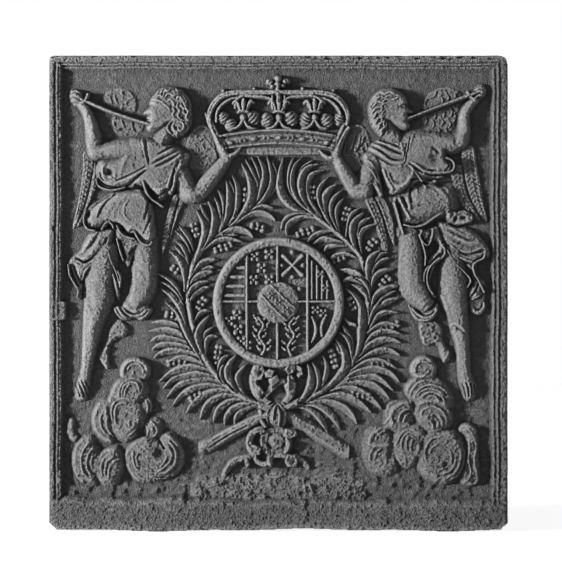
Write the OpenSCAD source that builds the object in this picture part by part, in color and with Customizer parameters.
// Cast-iron fireback of the armorial kind: a heavy plate that stands behind a hearth fire.
// It was cast in an open sand bed.  The founder pressed a flat board, strips of moulding and
// loose carved stamps into the sand one after another, so the casting is put together here
// from those same pieces, each one a solid that sits on the face of the plate.
// Frame: X to the right seen from the front, +Y into the chimney wall, +Z up.
// The origin is the middle of the underside that stands on the hearth.  Millimetres.

/* [Plate] */
// Width of the plate
plate_w = 915; // [880:1:1000]
// Height of the plate
plate_h = 950; // [915:1:1040]
// Thickness of the plate behind the carving
plate_t = 24; // [16:1:40]
// Radius of the two upper corners
top_corner_r = 9; // [2:1:20]
// Size of the chipped slope at the two lower corners
foot_chip = 12; // [3:1:24]

/* [Border] */
// Width of the moulding at the left and right
side_border_w = 35; // [28:1:50]
// Width of the moulding along the top
top_border_w = 30; // [24:1:44]
// How far the mouldings stand out from the field
border_rise = 13; // [8:1:20]
// Height of the plain band along the foot
foot_band_h = 62; // [40:1:80]
// How far the foot band stands out from the field
foot_band_rise = 16; // [10:1:24]

/* [Medallion] */
// Diameter of the medallion, as a share of the carved field
medallion_share = 0.322; // [0.303:0.001:0.331]
// Width of its raised ring
ring_w = 22; // [14:1:30]
// Height of the ring above the field
ring_rise = 17; // [12:1:24]
// Height of the medallion's sunk floor above the field
shield_floor = 6; // [3:1:9]
// Height of the medallion's centre, as a share of the field's height
medallion_lift = 0.459; // [0.44:0.001:0.475]
// Diameter of the small shield, as a share of the medallion
inner_shield_share = 0.324; // [0.22:0.002:0.4]
// Width of the ribs that divide the medallion's floor
rib_w = 4; // [2:0.5:6]

/* [Crown] */
// Width of the crown across its arches, as a share of the field's width
crown_spread = 0.327; // [0.29:0.001:0.345]
// Height of the crown, band to finial, as a share of its width
crown_ratio = 0.58; // [0.5:0.005:0.6]
// How far the crown stands out from the field
crown_rise = 19; // [12:1:24]
// Diameter of a bud on the crown, as a share of its width
bud_share = 0.062; // [0.045:0.001:0.07]

/* [Palms] */
// Space from the medallion to the middle of a stem, as a share of the medallion
stem_gap_share = 0.176; // [0.155:0.001:0.205]
// Width of a palm stem at its foot, as a share of a leaf's length
stem_share = 0.238; // [0.14:0.002:0.33]
// Height of the stems above the field
stem_rise = 13; // [8:1:20]
// Length of the outer leaves, as a share of the medallion
leaf_share = 0.309; // [0.22:0.001:0.365]
// Width of one leaf blade, as a share of its length
leaf_slim = 0.131; // [0.085:0.001:0.18]
// Number of leaf tufts along a palm
tufts = 9; // [7:1:11]
// Diameter of a palm fruit, as a share of a leaf's length
fruit_share = 0.107; // [0.06:0.001:0.14]

/* [Ribbon] */
// Width of the ribbon, as a share of the medallion
ribbon_share = 0.07; // [0.045:0.001:0.095]
// Height of the ribbon above the field
ribbon_rise = 10; // [6:1:16]

/* [Figures] */
// Height of the figures above the field
figure_rise = 24; // [16:1:30]
// Height of their wings above the field
wing_rise = 9; // [5:1:14]
// Diameter of a trumpet tube
trumpet_d = 8; // [5:0.5:12]

/* [Clouds] */
// Height of the cloud scrolls above the field
cloud_rise = 17; // [10:1:24]
// Width of one roll of cloud
roll_w = 13; // [8:1:18]
// Height of the rough ground under the carving
ground_rise = 6; // [3:1:10]

/* [Hidden] */
iron = "#4b4c4e";
bright_iron = "#66676a";

foot_t = plate_t + foot_band_rise;    // whole depth of the underside
field_y = foot_t / 2 - plate_t;       // place of the plate's face
field_w = plate_w - 2 * side_border_w;
field_h = plate_h - top_border_w - foot_band_h;
// The carver's drawing: its width, its height, and how far above the hearth its field begins.
// The crown and the figures that hold it are drawn in its units and spread with the field both ways.
drawing = [845, 858, 62];
fx = field_w / drawing[0];
fz = field_h / drawing[1];
// Round stamps stay round, so they follow whichever way the field is tighter
unit = min(fx, fz);
medallion_d = medallion_share * drawing[0] * unit;
medallion_r = medallion_d / 2;
medallion_z = foot_band_h + medallion_lift * field_h;
inner_shield_d = inner_shield_share * medallion_d;
stem_gap = stem_gap_share * medallion_d;
stem_r = medallion_r + stem_gap;
leaf_l = leaf_share * medallion_d;
leaf_w = leaf_slim * leaf_l;
stem_w = stem_share * leaf_l;
fruit_d = fruit_share * leaf_l;
ribbon_w = ribbon_share * medallion_d;
// On the drawing
crown_w = crown_spread * drawing[0];
crown_h = crown_ratio * crown_w;
bud_d = bud_share * crown_w;
crown_z = 752;

// ---------------------------------------------------------------- drawing on the field
// Children are drawn flat, x to the right and y up, with z as their height off the field.
module on_field() {
    translate([0, field_y, 0]) rotate([90, 0, 0]) children();
}

function pick(v, i) = v[max(0, min(len(v) - 1, i))];
function curve4(a, b, c, d, t) =
    0.5 * (2 * b + (c - a) * t + (2 * a - 5 * b + 4 * c - d) * t * t + (3 * b - a - 3 * c + d) * t * t * t);
// Smooth curve through stations, n steps a span; a station is [x, z, half width, height]
function flow(s, n) = concat(
    [for (i = [0 : len(s) - 2], k = [0 : n - 1])
        curve4(pick(s, i - 1), s[i], s[i + 1], pick(s, i + 2), k / n)],
    [s[len(s) - 1]]);
// Left-hand normal of the curve at station i
function side_of(s, i) = let (d = pick(s, i + 1) - pick(s, i - 1), l = max(0.001, norm([d[0], d[1]])))
    [-d[1] / l, d[0] / l];
// Sections of a limb, as shares of its half width and height
round_top = [[-1, 0], [-0.74, 0.68], [0, 1], [0.74, 0.68], [1, 0]];
roll_top = [[-1, 0], [-0.5, 0.92], [0.5, 0.92], [1, 0]];
crease_top = [[-1, 0], [0, 1], [1, 0]];
function section(s, i, top) = let (n = side_of(s, i), p = s[i], w = max(0.3, p[2]), h = max(0.4, p[3]))
    [for (k = top) [p[0] + n[0] * w * k[0], p[1] + n[1] * w * k[0], h * k[1]]];

// Where a point of the drawing comes to lie on the field
function laid(p) = [p[0] * fx, foot_band_h + (p[1] - drawing[2]) * fz, p[2]];
// Convex skin over a stack of rings that have as many points each; spread is true on the drawing
module wrap(rings, spread = false) {
    n = len(rings[0]);
    last = (len(rings) - 1) * n;
    hull() polyhedron(
        points = [for (ring = rings, p = ring) spread ? laid(p) : p],
        faces = concat(
            [[for (k = [0 : n - 1]) k]],
            [for (j = [0 : n : last - 1], k = [0 : n - 1])
                [j + k, j + n + k, j + n + (k + 1) % n, j + (k + 1) % n]],
            [[for (k = [n - 1 : -1 : 0]) last + k]]));
}

// A limb, fold, stem or leaf: sections that stand on the field, joined one to the next
module limb(stations, n = 2, top = round_top, spread = false) {
    s = flow(stations, n);
    for (i = [0 : len(s) - 2]) wrap([section(s, i, top), section(s, i + 1, top)], spread);
}

// A rounded swelling: a low dome on an oval foot
module mound(x, z, rx, rz, h, turn = 0, sides = 7, spread = false) {
    rings = sides > 8 ? [[1, 0], [0.8, 0.62], [0.38, 0.94]] : [[1, 0], [0.62, 0.88]];
    wrap([for (r = rings) [for (k = [0 : sides - 1])
        let (a = 360 * k / sides, u = rx * r[0] * cos(a), v = rz * r[0] * sin(a))
        [x + u * cos(turn) - v * sin(turn), z + u * sin(turn) + v * cos(turn), h * r[1]]]], spread);
}

// A figure's limb on the drawing: its heights are shares of the figures' rise
module drawn(stations, n = 2, rise = figure_rise, top = round_top) {
    limb([for (p = stations) [p[0], p[1], p[2], p[3] * rise]], n, top, true);
}
// A fold of cloth or a lock of hair comes to a soft crease
module fold(stations, n = 1) {
    drawn(stations, n, figure_rise, crease_top);
}
module swell(x, z, rx, rz, h, turn = 0, sides = 7, rise = figure_rise) {
    mound(x, z, rx, rz, h * rise, turn, sides, true);
}

// ---------------------------------------------------------------- plate and mouldings
module back_plate() {
    color(iron) translate([0, foot_t / 2, 0]) rotate([90, 0, 0]) linear_extrude(plate_t)
        polygon(concat(
            [[-plate_w / 2 + foot_chip, 0], [plate_w / 2 - foot_chip, 0], [plate_w / 2, foot_chip]],
            [for (a = [0 : 15 : 90])
                [plate_w / 2 - top_corner_r * (1 - cos(a)), plate_h - top_corner_r * (1 - sin(a))]],
            [for (a = [90 : 15 : 180])
                [-plate_w / 2 + top_corner_r * (1 + cos(a)), plate_h - top_corner_r * (1 - sin(a))]],
            [[-plate_w / 2, foot_chip]]));
}

// Section of the moulding: u runs in from the plate's edge to the field, v out of the field
function moulding(w) = [
    [0, 0], [0, 0.80], [0.04, 0.92], [0.10, 1.0], [0.26, 1.0], [0.30, 0.72], [0.36, 0.62],
    [0.40, 0.84], [0.46, 0.94], [0.58, 0.90], [0.66, 0.66], [0.76, 0.36], [0.88, 0.14], [1, 0]
] * [[w, 0], [0, border_rise]];

module moulding_strip(w, length) {
    rotate([90, 0, 90]) linear_extrude(length) polygon([for (p = moulding(w)) [-p[0], p[1]]]);
}

// A side strip runs from the foot band up to the mitre at the top corner
module side_border() {
    length = plate_h - foot_band_h;
    on_field() intersection() {
        translate([-plate_w / 2, foot_band_h, 0]) rotate([0, 0, 90]) moulding_strip(side_border_w, length);
        linear_extrude(2 * border_rise) polygon([
            [-plate_w / 2, foot_band_h], [-plate_w / 2 + side_border_w, foot_band_h],
            [-plate_w / 2 + side_border_w, plate_h - top_border_w],
            [-plate_w / 2 + top_corner_r, plate_h - top_corner_r],
            [-plate_w / 2, plate_h - top_corner_r]
        ]);
    }
}
module left_border() {
    color(iron) side_border();
}
module right_border() {
    color(iron) mirror([1, 0, 0]) side_border();
}
module top_border() {
    color(iron) on_field() intersection() {
        translate([-plate_w / 2, plate_h, 0]) moulding_strip(top_border_w, plate_w);
        linear_extrude(2 * border_rise) polygon([
            [-plate_w / 2 + side_border_w, plate_h - top_border_w],
            [plate_w / 2 - side_border_w, plate_h - top_border_w],
            [plate_w / 2 - top_corner_r, plate_h - top_corner_r],
            [plate_w / 2 - top_corner_r, plate_h], [-plate_w / 2 + top_corner_r, plate_h],
            [-plate_w / 2 + top_corner_r, plate_h - top_corner_r]
        ]);
    }
}
// Plain band along the foot, with a sloped upper edge that sheds ash
module foot_band() {
    slope = foot_band_rise * 0.4;
    color(iron) on_field() intersection() {
        translate([-plate_w / 2, 0, 0]) rotate([90, 0, 90]) linear_extrude(plate_w) polygon([
            [0, 0], [foot_band_h, 0], [foot_band_h, foot_band_rise * 0.3],
            [foot_band_h - slope, foot_band_rise], [0, foot_band_rise]
        ]);
        linear_extrude(2 * foot_band_rise) polygon([
            [-plate_w / 2 + foot_chip, 0], [plate_w / 2 - foot_chip, 0], [plate_w / 2, foot_chip],
            [plate_w / 2, foot_band_h], [-plate_w / 2, foot_band_h], [-plate_w / 2, foot_chip]
        ]);
    }
}

// ---------------------------------------------------------------- medallion
module medallion() {
    r = medallion_r;
    color(iron) on_field() translate([0, medallion_z, 0]) rotate_extrude($fn = 96) polygon([
        [0, 0], [r, 0], [r - 1, ring_rise * 0.45], [r - ring_w * 0.16, ring_rise * 0.85],
        [r - ring_w * 0.4, ring_rise], [r - ring_w * 0.66, ring_rise * 0.96],
        [r - ring_w * 0.9, ring_rise * 0.72], [r - ring_w, shield_floor], [0, shield_floor]
    ]);
}

// Ribs parting the floor into six plain fields: two uprights, one level bar, one short upright
module shield_ribs() {
    inside = medallion_r - ring_w;
    top = shield_floor + rib_w * 0.8;
    pale = inside * 0.52;
    color(iron) on_field() translate([0, medallion_z, shield_floor]) difference() {
        intersection() {
            union() {
                for (x = [-pale, 0, pale])
                    translate([x - rib_w / 2, -inside, 0]) cube([rib_w, 2 * inside, top - shield_floor]);
                for (s = [-1, 1])
                    translate([s > 0 ? rib_w / 2 : -inside, -rib_w / 2, 0])
                        cube([inside - rib_w / 2, rib_w, top - shield_floor]);
            }
            cylinder(r = inside, h = top, $fn = 96);
        }
        translate([0, 0, -1]) cylinder(d = inner_shield_d, h = top + 2, $fn = 64);
    }
}

// Plain geometric charges in the fields: bars, lozenges, a saltire and roundels
module shield_charges() {
    inside = medallion_r - ring_w;
    pale = inside * 0.52;
    h = rib_w * 0.7;
    bar = inside * 0.075;
    color(iron) on_field() translate([0, medallion_z, shield_floor]) intersection() {
        union() {
            for (k = [0 : 3]) {
                translate([-inside * 0.93, inside * (0.12 + 0.15 * k), 0])
                    cube([inside * 0.93 - pale - rib_w, bar, h]);
                translate([pale + rib_w * 1.5 + k * bar * 1.55, -inside * 0.72, 0])
                    cube([bar * 0.7, inside * 0.62, h]);
            }
            for (k = [0 : 2], s = [-1, 1]) {
                mound(s * (pale / 2), s * inside * (0.56 + 0.13 * k), bar, bar * 1.25, h, 0, 4);
                mound(s * pale * 1.42, s * inside * (0.14 + 0.2 * k), bar, bar, h, 0, 6);
            }
        }
        cylinder(r = inside - rib_w, h = h, $fn = 96);
    }
}

// Small round shield in the middle, crossed by one plain raised band
module inner_shield() {
    r = inner_shield_d / 2;
    h = ring_rise * 0.62 - shield_floor * 0.3;
    color(iron) on_field() translate([0, medallion_z, shield_floor]) union() {
        rotate_extrude($fn = 64)
            polygon([[0, 0], [r, 0], [r * 0.97, h * 0.55], [r * 0.86, h * 0.8], [0, h * 0.94]]);
        intersection() {
            rotate([0, 0, -45]) translate([-r, -r * 0.2, h * 0.5]) cube([2 * r, r * 0.4, h * 0.68]);
            cylinder(r = r * 0.97, h = 2 * h, $fn = 64);
        }
    }
}

// ---------------------------------------------------------------- crown
// The band bows upward: a point of it at share u (-1 to 1) of its width
band_w = crown_w * 0.84;
function band_z(u) = crown_z + crown_h * (0.2 - 0.11 * u * u);
module crown_limb(stations, n, top = roll_top) {
    limb(stations, n, top, true);
}
module crown_arc(u0, u1, dz, w, h, n) {
    crown_limb([for (k = [0 : n]) let (u = u0 + (u1 - u0) * k / n)
        [u * band_w / 2, band_z(u) + dz, w, h]], 1);
}
module crown_boss(x, z, rx, rz, share, turn = 0, sides = 7) {
    mound(x, z, rx, rz, crown_rise * share, turn, sides, true);
}
// Two rims with a jewelled band between them, over a plain lining, all on a low backing
module crown_band() {
    gem = crown_h * 0.045;
    color(bright_iron) on_field() union() {
        crown_arc(-0.98, 0.98, -crown_h * 0.01, crown_h * 0.105, crown_rise * 0.4, 7);
        crown_arc(-1, 1, -crown_h * 0.12, crown_h * 0.055, crown_rise * 0.6, 8);
        crown_arc(-1, 1, 0, crown_h * 0.06, crown_rise * 0.45, 8);
        crown_arc(-1, 1, crown_h * 0.1, crown_h * 0.035, crown_rise * 0.85, 8);
        for (u = [-0.84 : 0.24 : 0.85])
            crown_boss(u * band_w / 2, band_z(u), gem * 1.6, gem, 0.7, 0, 6);
    }
}
// Four buds on the band, a pair at each end, and a spray of three leaves under every arch
module crown_fleurons() {
    lift = crown_h * 0.13;
    color(bright_iron) on_field() union() {
        for (u = [-0.44, -0.19, 0.21, 0.45])
            crown_boss(u * band_w / 2, band_z(u) + lift + bud_d * 0.45,
                bud_d * 0.66, bud_d * 0.84, 1, -20 * u);
        for (s = [-1, 1]) {
            crown_boss(s * band_w * 0.4, band_z(0.8) + lift + bud_d * 0.3, bud_d * 0.5, bud_d * 0.6, 0.85);
            crown_boss(s * band_w * 0.44, band_z(0.88) + lift + bud_d * 0.95,
                bud_d * 0.46, bud_d * 0.52, 0.8);
        }
        for (u = [-0.66, 0.01, 0.66]) let (x = u * band_w / 2, z = band_z(u) + lift) {
            crown_boss(x, z + crown_h * 0.13, bud_d * 0.42, crown_h * 0.2, 1);
            for (s = [-1, 1])
                crown_limb([[x, z, bud_d * 0.3, crown_rise * 0.9],
                    [x + s * bud_d * 0.5, z + crown_h * 0.13, bud_d * 0.28, crown_rise * 0.95],
                    [x + s * bud_d * 0.95, z + crown_h * 0.25, bud_d * 0.2, crown_rise * 0.8]],
                    2, crease_top);
        }
    }
}
// Each arch runs on past the middle, so that the two halves are knit together there
module crown_arches() {
    foot_z = crown_z + crown_h * 0.36;
    top_z = crown_z + crown_h * 0.74;
    rib = crown_w * 0.02;
    color(bright_iron) on_field() union() {
        for (s = [-1, 1]) {
            crown_limb([[s * crown_w * 0.47, foot_z + crown_h * 0.12, rib, crown_rise * 0.6],
                [s * crown_w * 0.41, top_z - crown_h * 0.05, rib * 1.3, crown_rise * 0.75],
                [s * crown_w * 0.25, top_z, rib * 1.1, crown_rise * 0.8],
                [-s * rib, top_z, rib, crown_rise * 0.85]], 3);
            crown_limb([[s * crown_w * 0.25, foot_z, rib * 1.1, crown_rise],
                [s * crown_w * 0.27, foot_z + crown_h * 0.2, rib * 1.2, crown_rise],
                [s * crown_w * 0.19, top_z - crown_h * 0.04, rib * 1.1, crown_rise * 0.95],
                [-s * rib, top_z - rib, rib, crown_rise * 0.9]], 3);
            // the socket that an inner arch springs from
            crown_boss(s * crown_w * 0.258, foot_z + crown_h * 0.08, rib * 1.5, crown_h * 0.11, 0.96, 0, 6);
        }
        crown_limb([[0, foot_z, rib * 1.1, crown_rise], [0, foot_z + crown_h * 0.2, rib * 1.4, crown_rise],
            [0, top_z + rib * 0.4, rib * 0.8, crown_rise * 0.9]], 2, round_top);
    }
}
module crown_finial() {
    z = crown_z + crown_h * 0.78;
    color(bright_iron) on_field() union() {
        crown_boss(0, z, bud_d * 0.5, bud_d * 0.5, 0.9);
        crown_boss(0, z + crown_h * 0.11, bud_d * 0.62, bud_d * 0.75, 1);
        for (s = [-1, 1])
            crown_limb([[0, z, bud_d * 0.24, crown_rise * 0.8],
                [s * bud_d * 0.7, z + crown_h * 0.09, bud_d * 0.24, crown_rise * 0.8],
                [s * bud_d * 1.3, z + crown_h * 0.1, bud_d * 0.24, crown_rise * 0.6]], 3, round_top);
    }
}

// ---------------------------------------------------------------- palms
// A stem keeps to a circle round the medallion; angle 0 is straight below its centre
function round_medallion(s, r, a) = [s * r * sin(a), medallion_z - r * cos(a)];
// The palms cross and are tied a little below that circle, and their cut ends stick out under the knot
tie_z = medallion_z - stem_r * 1.13;
butt_reach = stem_r * 0.72;
butt_drop = stem_r * 0.43;
stem_start = 24;
stem_end = 158;
module blade(root, mid, tip, size = 1, n = 2) {
    limb([[root[0], root[1], leaf_w * 0.3, stem_rise * 0.75],
        [mid[0], mid[1], leaf_w * 0.6 * size, stem_rise],
        [tip[0], tip[1], leaf_w * 0.08, stem_rise * 0.3]], n, crease_top);
}
// A blade leaves the stem along it and curls away to one side; every second one is shorter
module leaf(s, a, out, size) {
    along = size * 57.3 / stem_r;
    blade(round_medallion(s, stem_r, a), round_medallion(s, stem_r + out * size * 0.3, a + along * 0.5),
        round_medallion(s, stem_r + out * size * 0.72, a + along * 0.72), 1, out > 0 ? 2 : 1);
}
// The last blades fan upward under the crown, their tips hooked outward
module top_tuft(s) {
    for (k = [0 : 3]) {
        root = round_medallion(s, stem_r + leaf_l * (0.07 - 0.05 * k), stem_end - 2);
        blade(root, root + [-s * leaf_l * (0.2 + 0.17 * k), leaf_l * (0.64 - 0.08 * k)],
            root + [-s * leaf_l * (0.02 + 0.24 * k), leaf_l * (1.34 + 0.02 * k)], 1.1);
    }
}
module palm(s) {
    step = (stem_end - stem_start) / (2 * tufts);
    butt = [-s * butt_reach, tie_z - butt_drop];
    limb(concat(
        [[butt[0], butt[1], stem_w * 0.62, stem_rise], [0, tie_z, stem_w * 0.45, stem_rise * 1.1]],
        [for (a = [stem_start : 22 : stem_end]) let (p = round_medallion(s, stem_r, a))
            [p[0], p[1], stem_w * (0.42 - 0.0017 * a), stem_rise]]), 1);
    for (i = [0 : 2 * tufts - 2]) {
        size = 1 - 0.16 * (i % 2);
        leaf(s, stem_start + step * i, 1, leaf_l * size);
        leaf(s, stem_start + step * (i + 0.5), -1, stem_gap * size);
    }
    top_tuft(s);
}
module left_palm() {
    color(iron) on_field() palm(-1);
}
module right_palm() {
    color(iron) on_field() palm(1);
}
// Fruits lie in pairs in the hollows between the tufts
module fruit(s) {
    step = (stem_end - stem_start) / tufts;
    for (i = [1 : tufts - 1]) {
        p = round_medallion(s, stem_r + leaf_l * 0.68, stem_start + step * (i + 0.9));
        mound(p[0], p[1], fruit_d * 0.5, fruit_d * 0.8, stem_rise * 0.7, -s * stem_start, 6);
    }
}
module left_fruit() {
    color(iron) on_field() fruit(-1);
}
module right_fruit() {
    color(iron) on_field() fruit(1);
}

// ---------------------------------------------------------------- ribbon
// Stations are set out from the knot, in the drawing's units
module ribbon_run(points) {
    limb([for (p = points) [p[0] * unit, tie_z + p[1] * unit, ribbon_w / 2 * p[2], ribbon_rise * p[3]]], 3);
}
module ribbon_bow() {
    color(iron) on_field() union() {
        mound(0, tie_z, stem_w * 1.1, stem_w * 1.3, ribbon_rise * 1.9);
        ribbon_run([[-8, 18, 0.5, 0.8], [-38, 36, 0.9, 1], [-48, 62, 0.9, 1], [-34, 80, 0.8, 0.9]]);
        ribbon_run([[4, 18, 0.5, 0.8], [-4, 46, 0.7, 1], [-20, 60, 0.8, 1]]);
        ribbon_run([[8, 18, 0.5, 0.8], [24, 44, 0.9, 1], [28, 68, 0.9, 1], [14, 84, 0.7, 0.9]]);
    }
}
module ribbon_tails() {
    color(iron) on_field() union() {
        ribbon_run([[-30, -36, 0.6, 0.6], [-56, -52, 1, 1], [-56, -76, 1, 1], [-34, -92, 1, 0.9],
            [-4, -94, 1, 1], [18, -80, 1, 1], [14, -58, 0.9, 0.8], [32, -42, 0.7, 0.6]]);
        ribbon_run([[-42, -100, 0.9, 0.8], [-74, -112, 1, 0.9], [-96, -132, 0.9, 0.5]]);
        ribbon_run([[10, -96, 0.9, 0.8], [34, -106, 0.9, 0.8], [54, -118, 0.6, 0.4]]);
    }
}

// ---------------------------------------------------------------- figures
// The two winged trumpeters are carved in profile, facing out to the upper corners.
// A head is built on plain thirds: brow, nose and chin equally spaced down the face.
module head(x, z, look, tilt) {
    r = 27;
    // place of a point given forward and up from the middle of the skull
    function face(f, u) = [x + look * (f * cos(tilt) - u * sin(tilt)), z + f * sin(tilt) + u * cos(tilt)];
    brow = face(r * 0.55, r * 0.25);
    nose = face(r * 0.98, -r * 0.18);
    chin = face(r * 0.62, -r * 0.95);
    cheek = face(r * 0.3, -r * 0.35);
    swell(x, z, r, r * 0.96, 0.82, 0, 8);
    swell(cheek[0], cheek[1], r * 0.62, r * 0.78, 0.8, look * 8, 6);
    swell(brow[0], brow[1], r * 0.4, r * 0.3, 0.78, 0, 6);
    swell(nose[0], nose[1], r * 0.16, r * 0.22, 0.62, 0, 5);
    swell(chin[0], chin[1], r * 0.27, r * 0.22, 0.68, 0, 5);
    // hair: a cap of curls round the back and top of the skull
    for (k = [0 : 5]) {
        a = 66 + k * 36;
        p = [x + look * r * 0.86 * cos(a), z + r * 0.86 * sin(a)];
        swell(p[0], p[1], r * 0.3, r * 0.26, 0.9, a * look, 6);
    }
}

module left_head() {
    color(bright_iron) on_field() union() {
        head(-214, 842, -1, 12);
        drawn([[-216, 818, 16, 0.7], [-222, 790, 18, 0.75], [-232, 770, 22, 0.7]]);
        fold([[-190, 836, 8, 0.75], [-194, 812, 8, 0.75], [-206, 790, 6, 0.6]]);
    }
}
module left_arms() {
    color(bright_iron) on_field() union() {
        drawn([[-268, 760, 24, 0.8], [-320, 761, 20, 0.85], [-358, 758, 17, 0.8], [-372, 778, 15, 0.7],
            [-380, 812, 14, 0.65], [-392, 850, 11, 0.6], [-404, 868, 14, 0.6]]);
        swell(-404, 868, 16, 18, 0.62, 25);
        drawn([[-196, 738, 22, 0.75], [-182, 700, 20, 0.85], [-168, 670, 19, 0.85], [-142, 690, 18, 0.8],
            [-118, 722, 13, 0.7], [-106, 748, 11, 0.65]]);
        drawn([[-108, 752, 11, 0.65], [-122, 786, 9, 0.6], [-140, 826, 5, 0.45]]);
        drawn([[-106, 750, 7, 0.6], [-84, 754, 5, 0.4]]);
    }
}
module left_tunic() {
    color(iron) on_field() union() {
        drawn([[-226, 772, 40, 0.75], [-246, 738, 54, 0.95], [-272, 700, 52, 0.95], [-292, 674, 40, 0.9],
            [-308, 646, 58, 0.9], [-314, 618, 66, 0.85], [-314, 594, 62, 0.7]], 2);
        fold([[-258, 727, 8, 1], [-300, 706, 10, 1.05], [-346, 690, 9, 0.9],
            [-356, 706, 7, 0.8], [-346, 722, 6, 0.7]]);
        fold([[-352, 694, 6, 0.9], [-318, 680, 7, 0.95], [-266, 682, 6, 0.95]]);
        fold([[-328, 670, 5, 0.95], [-354, 640, 6, 0.95], [-362, 612, 6, 0.85]]);
        fold([[-382, 610, 7, 0.8], [-348, 606, 6, 0.85], [-318, 604, 6, 0.9], [-290, 590, 6, 0.9],
            [-262, 572, 6, 0.8], [-248, 574, 5, 0.7]]);
        fold([[-250, 716, 7, 1], [-250, 684, 8, 1.05], [-234, 656, 6, 0.8]]);
        fold([[-192, 742, 7, 0.8], [-206, 708, 8, 0.85], [-214, 674, 6, 0.6]]);
    }
}
module left_skirt() {
    color(iron) on_field() union() {
        drawn([[-352, 594, 22, 0.7], [-374, 572, 26, 0.75], [-392, 548, 22, 0.7], [-400, 526, 17, 0.6],
            [-402, 496, 12, 0.5], [-398, 468, 6, 0.35]]);
        drawn([[-326, 594, 18, 0.7], [-352, 560, 16, 0.75], [-380, 526, 10, 0.7], [-390, 490, 6, 0.5]]);
        fold([[-334, 562, 7, 0.8], [-326, 526, 9, 0.85], [-317, 492, 7, 0.8], [-321, 466, 5, 0.5]]);
        fold([[-320, 586, 7, 0.75], [-314, 560, 6, 0.75], [-304, 534, 4, 0.5]]);
        fold([[-286, 594, 16, 0.7], [-294, 562, 10, 0.7], [-298, 532, 5, 0.5]]);
    }
}
module left_legs() {
    color(bright_iron) on_field() union() {
        drawn([[-348, 556, 30, 0.8], [-355, 500, 33, 0.95], [-356, 462, 31, 0.95], [-368, 430, 24, 0.85],
            [-373, 400, 18, 0.8], [-377, 370, 14, 0.7], [-381, 335, 10, 0.62], [-388, 306, 13, 0.6],
            [-391, 272, 14, 0.4]], 2);
        drawn([[-270, 574, 28, 0.75], [-266, 530, 28, 0.95], [-268, 480, 28, 1], [-284, 452, 20, 0.9]]);
        drawn([[-322, 436, 8, 0.6], [-300, 424, 7, 0.6], [-270, 432, 7, 0.55]]);
        drawn([[-306, 428, 22, 0.6], [-322, 396, 16, 0.5], [-340, 366, 11, 0.45], [-348, 332, 10, 0.3]]);
    }
}

// A wing is a fan of long quills: each runs from its root to its tip
module quills(root_a, root_b, tip_a, tip_b, n, w) {
    for (i = [0 : n - 1]) {
        t = n > 1 ? i / (n - 1) : 0;
        root = root_a + (root_b - root_a) * t;
        tip = tip_a + (tip_b - tip_a) * t;
        mid = (root + tip) / 2 + [(tip[1] - root[1]) * 0.05, 0];
        drawn([[root[0], root[1], w, 0.7], [mid[0], mid[1], w, 0.9], [tip[0], tip[1], w * 0.4, 0.35]],
            1, wing_rise, crease_top);
    }
}
// Short scale feathers lie over the shoulder of the wing in rows
module scales(x, z, dx, dz, rows, n, w) {
    for (j = [0 : rows - 1], i = [0 : n - 1])
        swell(x + dx * (i + 0.5 * (j % 2)), z + dz * j, w, w * 1.15, 1 - 0.08 * j, 0, 6, wing_rise);
}
module left_outer_wing() {
    color(iron) on_field() union() {
        drawn([[-268, 822, 14, 0.7], [-276, 856, 16, 0.9], [-300, 872, 14, 1], [-326, 862, 10, 0.8]],
            2, wing_rise);
        scales(-300, 818, -16, -18, 2, 3, 7);
        quills([-384, 762], [-352, 740], [-412, 608], [-372, 640], 4, 8);
    }
}
module left_inner_wing() {
    color(iron) on_field() union() {
        scales(-168, 786, 16, -18, 3, 3, 7);
        drawn([[-176, 790, 9, 0.9], [-158, 812, 8, 1], [-140, 800, 8, 0.9],
            [-130, 770, 8, 0.8]], 2, wing_rise);
        quills([-212, 668], [-186, 660], [-226, 588], [-220, 566], 3, 8);
    }
}
// A straight tube, thinner towards its mouthpiece; the drawing's spread is taken out of its width
module trumpet(from, to) {
    w = trumpet_d / 2 / fx;
    drawn([for (t = [0, 1]) let (p = from + (to - from) * t) [p[0], p[1], w * (1 - 0.35 * t), 0.55]], 1);
}
module left_trumpet() {
    color(bright_iron) on_field() union() {
        trumpet([-262, 815], [-396, 866]);
        swell(-262, 815, 7, 7, 0.6);
    }
}

module right_head() {
    color(bright_iron) on_field() union() {
        head(214, 838, 1, 12);
        drawn([[218, 816, 16, 0.7], [224, 792, 20, 0.75], [230, 768, 24, 0.7]]);
        fold([[190, 838, 8, 0.75], [192, 812, 8, 0.75], [206, 788, 7, 0.6]]);
    }
}
module right_arms() {
    color(bright_iron) on_field() union() {
        drawn([[282, 770, 26, 0.85], [322, 776, 22, 0.85], [356, 776, 21, 0.8], [372, 796, 15, 0.7],
            [372, 826, 13, 0.65], [388, 856, 11, 0.6], [404, 872, 13, 0.6]]);
        swell(404, 876, 16, 15, 0.62, -30);
        drawn([[196, 742, 22, 0.75], [184, 706, 20, 0.85], [166, 676, 20, 0.85], [142, 690, 18, 0.8],
            [118, 722, 13, 0.7], [106, 744, 11, 0.65]]);
        drawn([[112, 752, 11, 0.65], [124, 782, 7, 0.6], [136, 800, 5, 0.45]]);
        drawn([[108, 748, 7, 0.6], [86, 752, 5, 0.4]]);
    }
}
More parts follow.
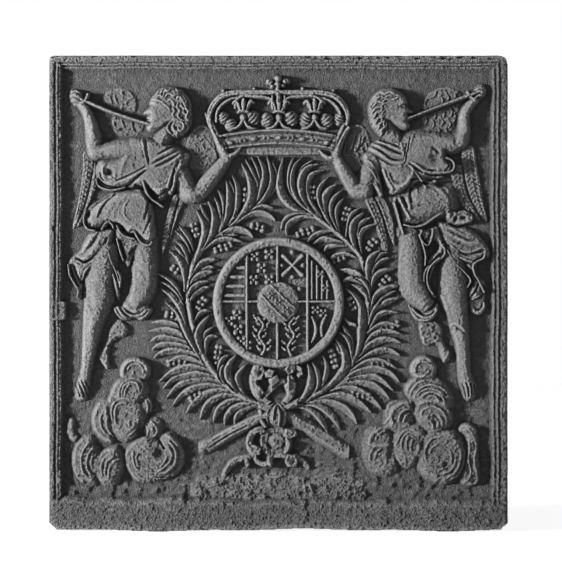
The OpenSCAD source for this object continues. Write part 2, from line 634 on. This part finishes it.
module right_tunic() {
    color(iron) on_field() union() {
        drawn([[222, 776, 42, 0.75], [238, 744, 54, 0.95], [252, 704, 48, 0.95], [276, 676, 44, 0.9],
            [290, 646, 54, 0.95], [290, 622, 50, 0.85]], 2);
        swell(288, 752, 26, 34, 1.02, 12, 10);
        fold([[254, 734, 5, 1], [286, 718, 6, 1.05], [318, 712, 7, 1],
            [346, 720, 7, 0.9], [344, 742, 6, 0.8]]);
        fold([[182, 772, 5, 0.9], [214, 746, 6, 1], [248, 732, 5, 1], [264, 796, 4, 0.95]], 3);
        fold([[206, 726, 7, 0.95], [224, 690, 8, 1], [214, 664, 7, 0.8]]);
        fold([[262, 718, 6, 0.95], [250, 692, 7, 1], [222, 676, 6, 0.9]]);
        fold([[246, 610, 8, 0.9], [282, 612, 8, 0.95], [306, 620, 8, 1], [326, 632, 8, 1]]);
        fold([[180, 736, 6, 0.75], [186, 700, 7, 0.8], [196, 672, 5, 0.6]]);
    }
}
module right_skirt() {
    color(iron) on_field() union() {
        drawn([[326, 566, 8, 0.8], [304, 536, 8, 0.85], [292, 508, 6, 0.8], [312, 470, 5, 0.5]]);
        drawn([[338, 566, 7, 0.8], [364, 532, 7, 0.85], [382, 506, 6, 0.8], [374, 486, 5, 0.5]]);
        drawn([[350, 618, 16, 0.7], [372, 586, 26, 0.7], [396, 560, 18, 0.65], [394, 530, 12, 0.6],
            [404, 494, 9, 0.55], [396, 462, 12, 0.5], [398, 444, 8, 0.4]]);
        fold([[340, 630, 12, 0.9], [366, 628, 9, 0.75], [384, 622, 6, 0.5]]);
        fold([[308, 606, 8, 0.8], [300, 584, 8, 0.75], [296, 574, 5, 0.5]]);
    }
}
module right_legs() {
    color(bright_iron) on_field() union() {
        drawn([[352, 556, 30, 0.8], [350, 500, 32, 0.95], [352, 462, 31, 0.95], [360, 430, 24, 0.85],
            [364, 400, 18, 0.8], [370, 370, 15, 0.7], [371, 338, 12, 0.62], [376, 308, 15, 0.6],
            [380, 278, 15, 0.4]], 2);
        drawn([[268, 596, 22, 0.75], [266, 556, 27, 0.95], [266, 508, 28, 1], [284, 466, 24, 0.9]]);
        drawn([[262, 458, 7, 0.6], [284, 438, 7, 0.6], [308, 460, 7, 0.55]]);
        drawn([[300, 422, 22, 0.6], [310, 394, 18, 0.5], [328, 362, 12, 0.45], [330, 340, 9, 0.3]]);
        drawn([[344, 404, 6, 0.85], [362, 408, 5, 0.9], [374, 398, 6, 0.8]]);
    }
}
module right_outer_wing() {
    color(iron) on_field() union() {
        drawn([[296, 838, 12, 0.7], [304, 864, 14, 0.9], [328, 872, 13, 1],
            [352, 864, 9, 0.8]], 2, wing_rise);
        scales(306, 828, 16, -18, 2, 3, 7);
        quills([376, 752], [354, 716], [412, 620], [384, 644], 4, 8);
    }
}
module right_inner_wing() {
    color(iron) on_field() union() {
        scales(142, 784, 16, -18, 2, 3, 7);
        drawn([[136, 794, 8, 0.9], [158, 810, 8, 1], [176, 798, 8, 0.9]], 2, wing_rise);
        quills([180, 660], [208, 660], [216, 568], [226, 590], 3, 8);
    }
}
module right_trumpet() {
    color(bright_iron) on_field() union() {
        trumpet([266, 826], [396, 872]);
        swell(266, 826, 7, 7, 0.6);
    }
}

// ---------------------------------------------------------------- clouds and ground
// A cloud boss is a turned heap of rolls, each one standing a little higher than the roll round it.
// A bank of clouds keeps its form, stands on the foot band and moves out with the field's width.
bank_x = 300;
module cloud_boss(x, z, radius, share) {
    r = radius * unit;
    n = max(1, floor(r / roll_w - 0.4));
    pitch = r / (n + 0.55);
    crest = cloud_rise * share;
    middle = (x < 0 ? -bank_x : bank_x);
    function roll_crest(i) = crest * (0.62 + 0.3 * (i + 1) / n);
    translate([middle * fx + (x - middle) * unit, foot_band_h + (z - drawing[2]) * unit, 0])
    rotate_extrude($fn = 48) polygon(concat(
        [[0, 0], [r, 0]],
        [for (i = [0 : n - 1], k = [[0.1, 0.7], [0.38, 1], [0.72, 0.94], [1, 0.62]])
            [r - pitch * (i + k[0]), roll_crest(i) * k[1]]],
        [[pitch * 0.46, crest * 0.86], [pitch * 0.2, crest * 0.97], [0, crest]]));
}
module left_clouds() {
    color(iron) on_field() union() {
        cloud_boss(-286, 318, 26, 0.8);
        cloud_boss(-291, 280, 36, 0.95);
        cloud_boss(-306, 232, 46, 0.8);
        cloud_boss(-360, 206, 30, 0.7);
        cloud_boss(-368, 138, 50, 0.85);
        cloud_boss(-318, 122, 41, 1);
        cloud_boss(-260, 144, 44, 0.9);
        cloud_boss(-214, 148, 37, 0.75);
        cloud_boss(-250, 206, 22, 0.9);
        cloud_boss(-262, 250, 19, 0.7);
    }
}
module right_clouds() {
    color(iron) on_field() union() {
        cloud_boss(284, 326, 26, 0.8);
        cloud_boss(299, 274, 42, 0.95);
        cloud_boss(304, 228, 40, 0.85);
        cloud_boss(259, 227, 25, 0.75);
        cloud_boss(262, 176, 40, 0.95);
        cloud_boss(326, 152, 56, 1);
        cloud_boss(206, 140, 36, 0.7);
        cloud_boss(384, 170, 26, 0.7);
        cloud_boss(386, 118, 24, 0.75);
    }
}
// Low humps of trodden ground between the clouds and the foot band
module rough_ground() {
    color(iron) on_field() union() {
        for (i = [0 : 9])
            swell(-150 + 32 * i, 84 + 8 * sin(137 * i), 17 + 3 * cos(97 * i), 13 + 3 * sin(61 * i),
                0.7 + 0.3 * cos(53 * i), 20 * sin(71 * i), 7, ground_rise);
    }
}

back_plate();
left_border();
right_border();
top_border();
foot_band();
medallion();
shield_ribs();
shield_charges();
inner_shield();
crown_band();
crown_fleurons();
crown_arches();
crown_finial();
left_palm();
right_palm();
left_fruit();
right_fruit();
ribbon_bow();
ribbon_tails();
left_head();
left_arms();
left_tunic();
left_skirt();
left_legs();
left_outer_wing();
left_inner_wing();
left_trumpet();
right_head();
right_arms();
right_tunic();
right_skirt();
right_legs();
right_outer_wing();
right_inner_wing();
right_trumpet();
left_clouds();
right_clouds();
rough_ground();
